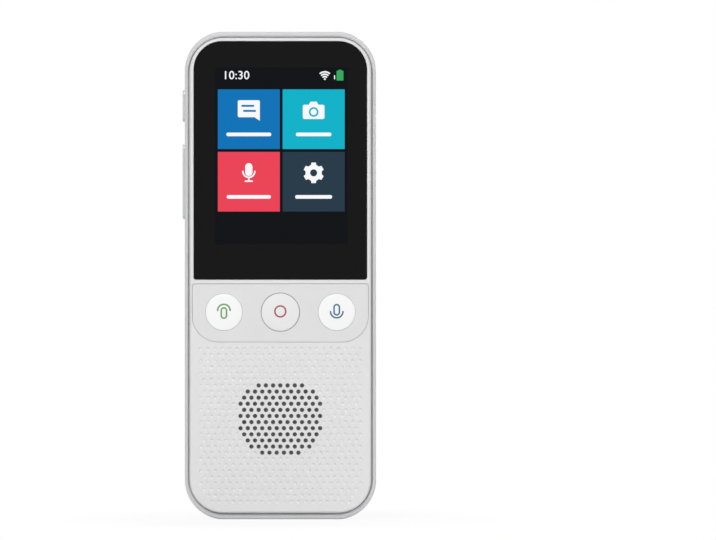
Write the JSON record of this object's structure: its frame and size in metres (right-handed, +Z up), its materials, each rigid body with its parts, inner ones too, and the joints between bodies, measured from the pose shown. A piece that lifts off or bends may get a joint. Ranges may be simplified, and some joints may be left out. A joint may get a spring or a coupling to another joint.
{
  "type": "handheld translator",
  "caption": "Slim upright pocket voice translator with a colour touch screen, round talk and record keys, a perforated speaker grille, side keys and a rear camera window.",
  "frame": {"origin": "on the floor, under the middle of the body as it stands on its lower end", "axes": "+Z up towards the screen end, -Y out of the screen side, +X to the right seen from the front"},
  "size_m": [0.0536, 0.0145, 0.135],
  "materials": {
    "cover_plastic": "satin silver-white moulding",
    "shell_plastic": "satin pearl-white moulding",
    "screen_glass": "black-bordered cover glass over a colour menu",
    "key_panel": "satin light grey",
    "key_white": "glossy white key",
    "key_silver": "satin silver-white key",
    "side_key": "satin silver key",
    "window_black": "black gloss window",
    "trim_silver": "bright plated ring",
    "lens_black": "black lens barrel",
    "lens_glass": "coated lens",
    "flash_clear": "yellowish clear plastic",
    "board_green": "solder-masked circuit board",
    "metal_can": "plain sheet metal",
    "steel": "plain steel",
    "chip_black": "matt black",
    "silicone": "translucent grey silicone",
    "rubber_black": "black rubber",
    "cloth_black": "fine black dust cloth",
    "tape_black": "black adhesive tape",
    "flex_amber": "amber flat cable",
    "battery_silver": "silver pouch",
    "display_dark": "dark display cell",
    "magnet": "dull plated magnet"
  },
  "bodies": {
    "housing": {"front_cover": "cover_plastic", "rear_shell": "shell_plastic", "screen_glass": "screen_glass", "screen_tape": "tape_black", "screen_bond": "display_dark", "display_panel": "display_dark", "backlight": "metal_can", "display_cable": "flex_amber", "display_socket": "chip_black", "key_panel": "key_panel", "key_mat": "silicone", "key_switches": "chip_black", "dust_mesh": "cloth_black", "speaker_gasket": "rubber_black", "speaker_frame": "chip_black", "speaker_magnet": "magnet", "speaker_membrane": "display_dark", "speaker_leads": "rubber_black", "main_board": "board_green", "processor_shield": "metal_can", "board_chips": "chip_black", "board_screws": "steel", "port_board": "board_green", "charging_port": "steel", "port_cable": "flex_amber", "port_socket": "chip_black", "battery": "battery_silver", "battery_tape": "tape_black", "battery_cable": "flex_amber", "battery_plug": "silicone", "battery_socket": "silicone", "camera_window": "window_black", "window_tape": "tape_black", "window_ring": "trim_silver", "camera_socket": "chip_black", "camera_base": "chip_black", "camera_barrel": "lens_black", "camera_lens": "lens_glass", "flash_led": "flash_clear", "flash_guide": "flash_clear", "power_switch": "chip_black", "volume_switches": "chip_black", "side_board": "board_green", "microphones": "metal_can", "microphone_boots": "rubber_black", "antenna": "flex_amber"},
    "talk_key_left": {"talk_key_left": "key_white", "talk_key_left_nub": "silicone", "talk_key_left_plunger": "chip_black"},
    "record_key": {"record_key": "key_silver", "record_key_nub": "silicone", "record_key_plunger": "chip_black"},
    "talk_key_right": {"talk_key_right": "key_white", "talk_key_right_nub": "silicone", "talk_key_right_plunger": "chip_black"},
    "power_key": {"power_key": "side_key", "power_plunger": "chip_black"},
    "volume_rocker": {"volume_rocker": "side_key"}
  },
  "joints": [
    {"name": "talk_key_left_press", "type": "slide", "parent": "housing", "child": "talk_key_left", "axis": [0, 1, 0], "range_m": [0, 0.00035], "stiffness_N_per_m": 3000},
    {"name": "record_key_press", "type": "slide", "parent": "housing", "child": "record_key", "axis": [0, 1, 0], "range_m": [0, 0.00035], "stiffness_N_per_m": 3000},
    {"name": "talk_key_right_press", "type": "slide", "parent": "housing", "child": "talk_key_right", "axis": [0, 1, 0], "range_m": [0, 0.00035], "stiffness_N_per_m": 3000},
    {"name": "power_key_press", "type": "slide", "parent": "housing", "child": "power_key", "axis": [1, 0, 0], "range_m": [0, 0.00025], "stiffness_N_per_m": 3000},
    {"name": "volume_rock", "type": "hinge", "parent": "housing", "child": "volume_rocker", "pos_m": [-0.0234, -0.0024, 0.0935], "axis": [0, 1, 0], "range_deg": [-1.2, 1.2], "stiffness_Nm_per_rad": 0.4}
  ]
}
